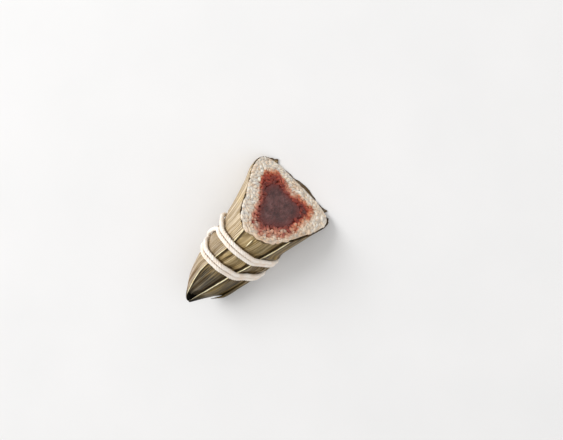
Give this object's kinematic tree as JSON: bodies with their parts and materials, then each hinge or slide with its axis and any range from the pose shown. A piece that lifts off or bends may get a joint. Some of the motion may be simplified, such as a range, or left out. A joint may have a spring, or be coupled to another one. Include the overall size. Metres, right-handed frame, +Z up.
{
  "type": "cut zongzi rice dumpling",
  "caption": "Half of a bamboo-leaf-wrapped sticky rice dumpling, cut open to show its bean-paste core and tied round with cotton string.",
  "frame": {"origin": "on the flat underside the dumpling rests on, in the middle of its width and about two thirds of the way from the folded point to the cut", "axes": "+Z up from the underside, +X along the dumpling from its folded point to its cut end, +Y to its left-hand side"},
  "size_m": [0.0901, 0.0548, 0.0409],
  "materials": {
    "rice": "cooked sticky rice, moist",
    "bean_paste": "red bean paste, moist and slightly grainy",
    "leaf_dark": "boiled bamboo leaf, satin, ribbed along its length",
    "leaf_light": "boiled bamboo leaf, paler, satin, ribbed along its length",
    "cotton_string": "twisted cotton, undyed"
  },
  "bodies": {
    "root": {"rice": "rice", "bean_paste": "bean_paste", "leaf_inner": "leaf_dark", "leaf_fold": "leaf_dark", "leaf_right": "leaf_dark", "leaf_left": "leaf_light", "leaf_flap": "leaf_dark", "string": "cotton_string"}
  },
  "joints": []
}
